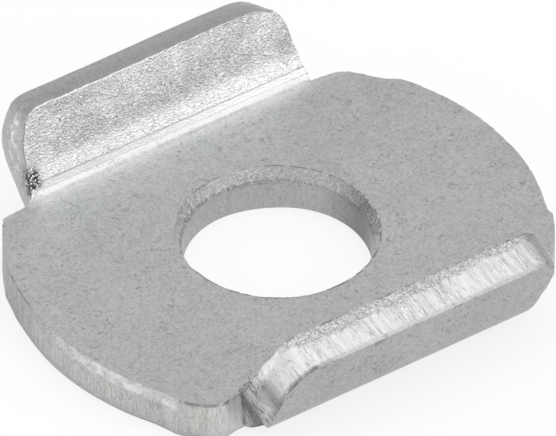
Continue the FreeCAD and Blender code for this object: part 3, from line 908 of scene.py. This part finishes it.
# %% Edge groups
def score_group():
    """From the run along the outline and the height through the sheet, in millimetres: masks of
    fine streaks, wide blocks, thick lines, hair lines and the lines of the fan, and a height."""
    group, given, result = new_group("scored_edge", ["Run", "Depth"],
                                     ["Streak", "Block", "Line", "Hair", "Fan", "Height"])

    def drawn_out(share):
        """A place on the edge whose way through the sheet counts for only a share."""
        return put("ShaderNodeCombineXYZ", {"X": given["Run"],
                                            "Y": times(given["Depth"], share)}).outputs[0]

    flat, broken = drawn_out(0.10), drawn_out(0.22)
    wide, thin = noise(flat, 2.6, 2, 0.6), noise(broken, 17.0, 3, 0.7)
    streak, block = [maths("ADD", times(wide, share), times(thin, 1 - share))
                     for share in (0.35, 0.65)]
    hair = times(ridges(noise(flat, 7.0, 2, 0.6), 0.05),
                 between(noise(flat, 1.7, 2), 0.42, 0.54))
    fill(result, {"Streak": between(streak, 0.36, 0.62), "Block": between(block, 0.40, 0.54),
                  "Line": between(noise(broken, 8.0, 3, 0.85), 0.58, 0.64), "Hair": hair,
                  "Fan": between(noise(flat, 10.0, 2, 0.6), 0.50, 0.62), "Height": streak})
    return group


def torn_group():
    """From the place: a mask of glitter and a height."""
    group, given, result = new_group("torn_grain", ["Place"], ["Glitter", "Height"])
    cells = put("ShaderNodeTexVoronoi", {"Vector": given["Place"], "Scale": 8000.0})
    rough = noise(given["Place"], 7400, 2, 0.75)
    height = maths("ADD", times(cells.outputs["Distance"], 0.6), rough)
    fill(result, {"Glitter": between(rough, 0.42, 0.60), "Height": height})
    return group


def dimple_group():
    """From the place: light and dark flecks, a mask of short dark strokes, and a height."""
    group, given, result = new_group("pressed_skin", ["Place"], ["Fleck", "Stroke", "Height"])
    place = given["Place"]
    lumps = noise(stretched(place, (0.7, 1.3, 1.3)), 6900, 2, 0.6, 0.4)
    small = noise(stretched(place, (0.8, 1.2, 1.2)), 11000, 1, 0.5)
    stroke = times(ridges(lumps, 0.045),
                   between(noise(place, 3600, 2), 0.34, 0.50))
    base = between(noise(place, 1300, 2), 0.35, 0.65, 0.44, 0.60)
    gleam = between(lumps, 0.54, 0.66, 0.0, 0.50)
    pit = between(small, 0.34, 0.44, 0.74, 0.0)
    fleck = maths("SUBTRACT", maths("ADD", base, gleam), pit, clamp=True)
    height = maths("ADD", lumps, times(small, 0.45))
    fill(result, {"Fleck": fleck, "Stroke": stroke, "Height": height})
    return group


# %% [markdown]
# ### The zinc
# Each kind of surface has a dark and a bright colour. A thin dark line of painted shade runs round
# the hole, where its torn edge meets the plate.

# %% The zinc
SKIN_COLOUR, SKIN_DARK = (0.535, 0.54, 0.545, 1), (0.16, 0.165, 0.17, 1)
PRESSED_LOW, PRESSED_HIGH = (0.33, 0.34, 0.34, 1), (0.98, 0.985, 0.99, 1)
# LIFTED colours are painted light: the lower inner face of the tall lip, lifted towards white.
LIFTED_LOW, LIFTED_HIGH = (0.34, 0.35, 0.35, 1), (1, 1, 1, 1)
SCORED_LOW, SCORED_HIGH = (0.44, 0.445, 0.43, 1), (0.70, 0.70, 0.675, 1)
CUT_LOW, CUT_HIGH = (0.63, 0.63, 0.625, 1), (0.76, 0.76, 0.76, 1)
TORN_LOW, TORN_HIGH = (0.31, 0.315, 0.315, 1), (0.66, 0.665, 0.665, 1)
SCORED_LINE, CUT_LINE = (0.24, 0.24, 0.23, 1), (0.33, 0.33, 0.325, 1)
RIM_RADIUS, RIM_WIDTH, RIM_SHADE_COLOUR = 5.62e-3, 1e-4, (0.22, 0.22, 0.21, 1)
# BRIGHT paints the bright mark: burnished facets and painted highlights.
BRIGHT, SPECK_DARK = (0.95, 0.955, 0.955, 1), (0.03, 0.03, 0.03, 1)
PATCH_LEVEL, SHADE_LEVEL = 0.84, 0.35
ROUGHNESS = 0.43
BUMP_DISTANCE = 0.00006


def zinc_plate():
    """One metal shader. Colour, roughness and height are mixed in turn: skin, pressed skin, sheared
    band, torn band, then the bright marks, which are partly painted highlights, painted shade with
    the fan lines, and dark specks on top."""
    material = bpy.data.materials.new("zinc_plate")
    material.use_nodes = True
    tree = material.node_tree
    shader = tree.nodes["Principled BSDF"]
    place = put("ShaderNodeTexCoord", tree=tree).outputs["Object"]

    def attribute(name):
        """Reads one of the mesh's marks."""
        return put("ShaderNodeAttribute", tree=tree, attribute_name=name).outputs

    value = {name: attribute(name)["Fac"] for name in (*MARKS, *press_marks)}
    depth = put("ShaderNodeSeparateXYZ", {0: attribute("blank")["Vector"]}).outputs["Z"]

    def use(kind, **sockets):
        """Puts one group in, links what it needs, and returns its outputs."""
        return put("ShaderNodeGroup", sockets, node_tree=kind).outputs

    skin = use(skin_group(), Place=place)
    score = use(score_group(), Run=value["run"], Depth=depth)
    torn = use(torn_group(), Place=place)
    dimple = use(dimple_group(), Place=place)

    def lined(colour, ink, thick, hair):
        """Draws the thick and the hair lines of the scored edge over a colour."""
        for title, strength in (("Line", thick), ("Hair", hair)):
            colour = blend(times(score[title], strength), colour, ink)
        return colour

    pressed = blend(dimple["Fleck"], PRESSED_LOW, PRESSED_HIGH)
    patch = between(noise(place, 230, 2), 0.40, 0.62)
    pressed = blend(patch, dimmed(pressed, PATCH_LEVEL), pressed)
    # Painted light: where lift is set, the pressed skin is lifted towards white.
    lifted = blend(dimple["Stroke"], LIFTED_HIGH, LIFTED_LOW)
    pressed = blend(value["lift"], pressed, lifted)
    radius = put("ShaderNodeVectorMath", {0: stretched(place, (1, 1, 0))},
                 operation="LENGTH").outputs["Value"]
    # Painted shade: a thin ragged dark ring round the top of the hole.
    rim = times(between(radius, RIM_RADIUS, RIM_RADIUS + RIM_WIDTH, 1.0, 0.0),
                between(noise(place, 2300, 2, 0.6), 0.42, 0.54))
    scored = lined(blend(score["Streak"], SCORED_LOW, SCORED_HIGH), SCORED_LINE, 0.60, 0.80)
    sliced = lined(blend(score["Block"], CUT_LOW, CUT_HIGH), CUT_LINE, 0.35, 0.75)
    grainy = blend(torn["Glitter"], TORN_LOW, TORN_HIGH)
    colour = blend(1.0, SKIN_COLOUR, skin["Tint"], "MULTIPLY")
    # Among these, the hole's rim line is painted shade and the bright mark is partly painted
    # highlights and glow; the shade mixed in below is painted shade.
    for share, paint in ((times(skin["Dark"], 0.55), SKIN_DARK),
                         (value["dimpled"], pressed),
                         (times(rim, value["skin"]), RIM_SHADE_COLOUR),
                         (value["sheared"], scored), (value["torn"], grainy),
                         (value["bright"], BRIGHT), (value["bright_cut"], sliced)):
        colour = blend(share, colour, paint)
    fan = times(times(value["fans"], score["Fan"]), 0.8)
    dim = maths("MAXIMUM", value["shade"], fan)
    colour = blend(dim, colour, dimmed(colour, SHADE_LEVEL))
    speck = between(noise(place, 6400, 2, 0.7), 0.41, 0.52)
    colour = blend(times(value["dark"], speck), colour, SPECK_DARK)

    rough = ROUGHNESS
    for share, change in ((value["sheared"], -0.06), (value["dimpled"], -0.06),
                          (value["bright"], -0.05), (skin["Dark"], 0.15),
                          (value["bright_cut"], 0.12)):
        rough = maths("ADD", rough, times(share, change))
    bumps = 0.0
    for pattern, share, size in ((skin["Height"], value["skin"], 0.10),
                                 (dimple["Height"], value["dimpled"], 0.9),
                                 (score["Height"], value["sheared"], 0.9),
                                 (torn["Height"], value["torn"], 0.8)):
        bumps = maths("ADD", bumps, times(times(pattern, share), size))
    bump = put("ShaderNodeBump", {"Height": bumps, "Distance": BUMP_DISTANCE, "Strength": 1.0})
    fill(shader, {"Base Color": colour, "Roughness": rough, "Metallic": 1.0,
                  "Normal": bump.outputs["Normal"]})
    return material


mesh.materials.append(zinc_plate())
print("zinc_plate:", len(mesh.materials[0].node_tree.nodes), "nodes")

# %% [markdown]
# ## Floor and light
# The floor is white paper, and the flat plate mirrors a soft grey room. There are four soft boxes.
# The low lip's edge mirrors the large one overhead. Two stand in front on the right: the tall lip's
# inner face mirrors the low one, and the struck facets in its bend the high one. The last stands
# at the left and lights the lips' cut ends.

# %% Floor and light
FLOOR_HALF = 4.0
FLOOR_GAP = 2e-5
FLOOR_COLOUR = (0.93, 0.93, 0.93, 1)
PAPER_WHITE = 0.8
ROOM_LEVEL = 0.62
floor_mesh = bpy.data.meshes.new("floor")
floor_mesh.from_pydata([(side * FLOOR_HALF, front * FLOOR_HALF, -FLOOR_GAP)
                        for side, front in ((-1, -1), (1, -1), (1, 1), (-1, 1))],
                       [], [(0, 1, 2, 3)])
floor = placed("floor", floor_mesh)


def paper():
    """White matt paper. Seen directly or mirrored it is mostly plain white, whatever light falls on
    it. To all other rays it is an ordinary matt floor."""
    material = bpy.data.materials.new("paper")
    material.use_nodes = True
    tree = material.node_tree
    matt = tree.nodes["Principled BSDF"]
    fill(matt, {"Base Color": FLOOR_COLOUR, "Roughness": 1.0, "Specular IOR Level": 0.0})
    rays = put("ShaderNodeLightPath", tree=tree).outputs
    seen = maths("MAXIMUM", rays["Is Camera Ray"],
                 maths("MAXIMUM", rays["Is Glossy Ray"], rays["Is Transmission Ray"]))
    white = put("ShaderNodeEmission", {"Color": (1, 1, 1, 1)}, tree)
    mixed = put("ShaderNodeMixShader", {0: times(seen, PAPER_WHITE), 1: matt.outputs[0],
                                        2: white.outputs[0]})
    fill(tree.nodes["Material Output"], {"Surface": mixed.outputs[0]})
    return material


floor_mesh.materials.append(paper())
world = bpy.data.worlds.new("room")
bpy.context.scene.world = world
world.use_nodes = True
fill(world.node_tree.nodes["Background"], {"Color": (1, 1, 1, 1), "Strength": ROOM_LEVEL})


def soft_lamp(name, place, size, level):
    """A square soft box at place, aimed at the washer. Its power is its brightness times its area
    times pi."""
    data = bpy.data.lights.new(name, "AREA")
    data.shape, data.size, data.energy = "SQUARE", size, level * size * size * np.pi
    back = unit(np.array(place))
    side_way = unit(np.cross([0, 0, 1.0], back))
    placed(name, data, np.column_stack([side_way, np.cross(back, side_way), back]), place)


LAMPS = {"overhead": ((0.12, 0.09, 0.9), 1.0, 1.2),
         "front": ((0.42, -0.85, 0.25), 0.6, 1.3),
         "front high": ((0.446, -0.574, 0.687), 0.45, 1.2),
         "left": ((-0.85, 0.43, 0.31), 0.6, 1.3)}
for name, (place, size, level) in LAMPS.items():
    soft_lamp(name, place, size, level)
bpy.context.scene.view_settings.view_transform = "Standard"
print("lamps:", ", ".join(LAMPS))
